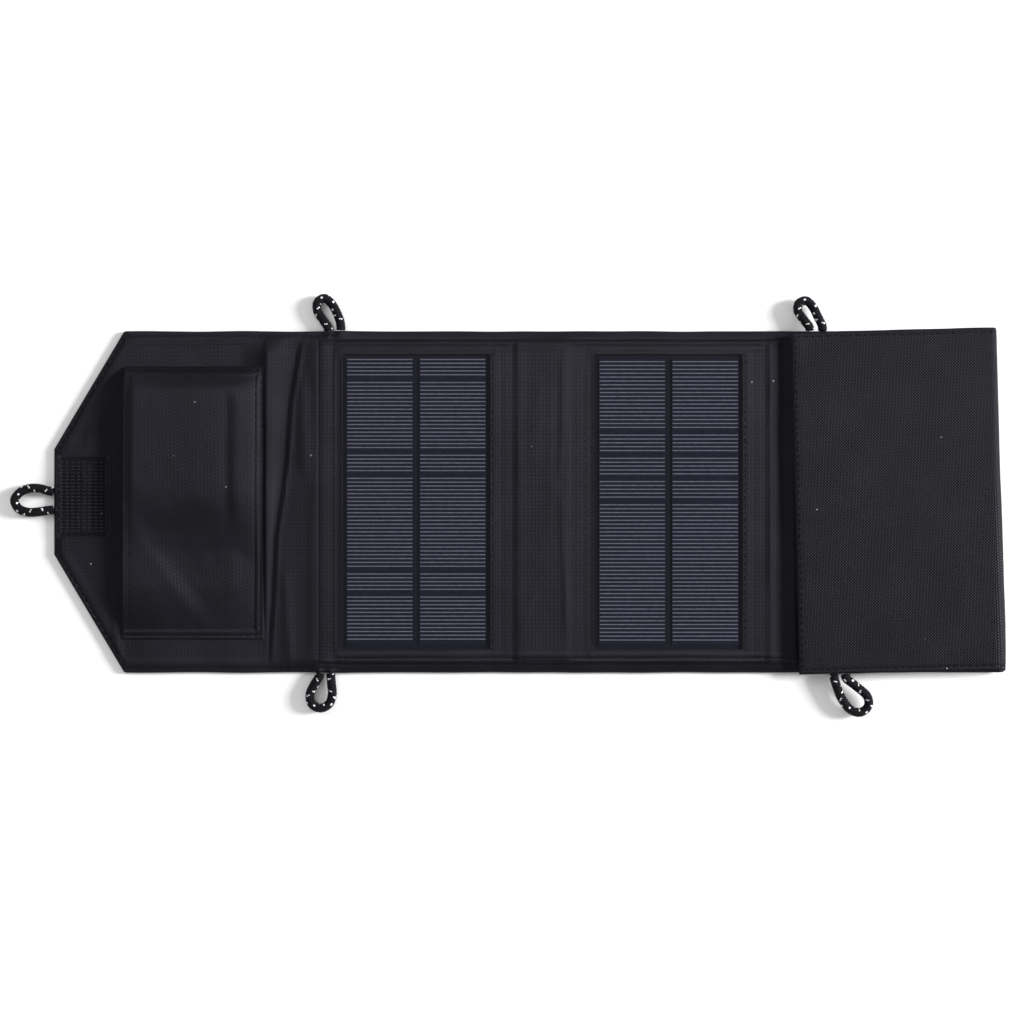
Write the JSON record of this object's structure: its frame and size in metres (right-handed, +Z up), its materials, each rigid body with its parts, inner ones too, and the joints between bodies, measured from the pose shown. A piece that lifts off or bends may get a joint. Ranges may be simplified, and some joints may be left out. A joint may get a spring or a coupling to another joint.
{
  "type": "folding solar charger",
  "caption": "Fabric wallet of hinged solar panels that rolls up, with a closing flap, cable pocket, hook tape and cord loops.",
  "frame": {"origin": "middle of the underside of panel 1, the solar panel next to the flap", "axes": "+X from the flap along the row of panels, +Y along the fold lines, +Z up from the cells"},
  "size_m": [0.4489, 0.1912, 0.0099],
  "materials": {
    "outer_cloth": "black coated oxford weave, slight sheen",
    "lining_cloth": "black plain weave with a soft coated sheen",
    "stiffener_board": "matt",
    "module_laminate": "satin film over a dark board",
    "solar_cells": "dark blue silicon under satin film",
    "cell_fingers": "thin printed silver lines",
    "hook_tape": "matt black hooks in rows",
    "loop_tape": "matt black brushed loops",
    "thread": "black sewing thread",
    "case_plastic": "fine moulded texture",
    "socket_metal": "plated",
    "circuit_board": "green solder mask",
    "indicator_lens": "clear red",
    "ferrite": "sintered grey",
    "capacitor_can": "satin can",
    "lead_insulation": "black insulated ribbon",
    "cord": "braided black cord with small pale tracer flecks"
  },
  "bodies": {
    "flap": {"flap_cover": "outer_cloth", "flap_stiffener": "stiffener_board", "flap_lining": "lining_cloth", "cable_pocket": "lining_cloth", "hook_tape": "hook_tape", "regulator_base": "case_plastic", "regulator_lid": "case_plastic", "usb_socket_insert": "case_plastic", "control_chip": "case_plastic", "indicator_lens": "indicator_lens", "usb_socket_shell": "socket_metal", "regulator_circuit_board": "circuit_board", "inductor": "ferrite", "capacitor": "capacitor_can", "flap_lead": "lead_insulation", "tip_loop": "cord"},
    "spine": {"spine_cover": "outer_cloth", "spine_lining": "lining_cloth", "spine_lead": "lead_insulation"},
    "panel_1": {"panel_1_back_cover": "outer_cloth", "panel_1_stiffener": "stiffener_board", "panel_1_solar_module": "module_laminate", "panel_1_cells_left": "solar_cells", "panel_1_cells_right": "solar_cells", "panel_1_front_frame": "lining_cloth", "spine_loop_top": "cord", "spine_loop_bottom": "cord"},
    "fold_1_2": {"fold_1_2_cover": "outer_cloth", "fold_1_2_lining": "lining_cloth", "fold_1_2_lead": "lead_insulation"},
    "panel_2": {"panel_2_back_cover": "outer_cloth", "panel_2_stiffener": "stiffener_board", "panel_2_solar_module": "module_laminate", "panel_2_cells_left": "solar_cells", "panel_2_cells_right": "solar_cells", "panel_2_front_frame": "lining_cloth", "loop_tape": "loop_tape"},
    "fold_2_3": {"fold_2_3_cover": "outer_cloth", "fold_2_3_lining": "lining_cloth", "fold_2_3_lead": "lead_insulation"},
    "panel_3": {"panel_3_back_cover": "outer_cloth", "panel_3_stiffener": "stiffener_board", "panel_3_solar_module": "module_laminate", "panel_3_cells_left": "solar_cells", "panel_3_cells_right": "solar_cells", "panel_3_front_frame": "lining_cloth"},
    "fold_3_4": {"fold_3_4_cover": "outer_cloth", "fold_3_4_lining": "lining_cloth", "fold_3_4_lead": "lead_insulation"},
    "panel_4": {"panel_4_back_cover": "outer_cloth", "panel_4_stiffener": "stiffener_board", "panel_4_solar_module": "module_laminate", "panel_4_cells_left": "solar_cells", "panel_4_cells_right": "solar_cells", "panel_4_front_frame": "lining_cloth", "end_loop_top": "cord", "end_loop_bottom": "cord"}
  },
  "joints": [
    {"name": "spine_fold", "type": "hinge", "parent": "panel_1", "child": "spine", "pos_m": [-0.0482, 0, 0.0015], "axis": [0, 1, 0], "range_deg": [0, 90], "deforming": ["spine_cover", "spine_lining", "spine_lead"]},
    {"name": "flap_fold", "type": "hinge", "parent": "spine", "child": "flap", "pos_m": [-0.07055, 0, 0.0015], "axis": [0, 1, 0], "range_deg": [0, 90]},
    {"name": "fold_1_2_near", "type": "hinge", "parent": "panel_1", "child": "fold_1_2", "pos_m": [0.05085, 0, 0.0015], "axis": [0, -1, 0], "range_deg": [0, 90], "deforming": ["fold_1_2_cover", "fold_1_2_lining", "fold_1_2_lead"]},
    {"name": "fold_1_2_far", "type": "hinge", "parent": "fold_1_2", "child": "panel_2", "pos_m": [0.0637, 0, 0.0015], "axis": [0, -1, 0], "range_deg": [0, 90]},
    {"name": "fold_2_3_near", "type": "hinge", "parent": "panel_2", "child": "fold_2_3", "pos_m": [0.16095, 0, 0.0015], "axis": [0, -1, 0], "range_deg": [0, 90], "deforming": ["fold_2_3_cover", "fold_2_3_lining", "fold_2_3_lead"]},
    {"name": "fold_2_3_far", "type": "hinge", "parent": "fold_2_3", "child": "panel_3", "pos_m": [0.1677, 0, 0.0015], "axis": [0, -1, 0], "range_deg": [0, 90]},
    {"name": "fold_3_4_near", "type": "hinge", "parent": "panel_3", "child": "fold_3_4", "pos_m": [0.2627, 0, 0.0015], "axis": [0.0122, -0.9999, 0], "range_deg": [-90, 0], "deforming": ["fold_3_4_cover", "fold_3_4_lining", "fold_3_4_lead"]},
    {"name": "fold_3_4_far", "type": "hinge", "parent": "fold_3_4", "child": "panel_4", "pos_m": [0.2627, 0, 0.00485], "axis": [0.0122, -0.9999, 0], "range_deg": [-90, 0]}
  ],
  "couplings": [
    {"joint": "flap_fold", "follows": "spine_fold", "ratio": 1},
    {"joint": "fold_1_2_far", "follows": "fold_1_2_near", "ratio": 1},
    {"joint": "fold_2_3_far", "follows": "fold_2_3_near", "ratio": 1},
    {"joint": "fold_3_4_far", "follows": "fold_3_4_near", "ratio": 1}
  ]
}
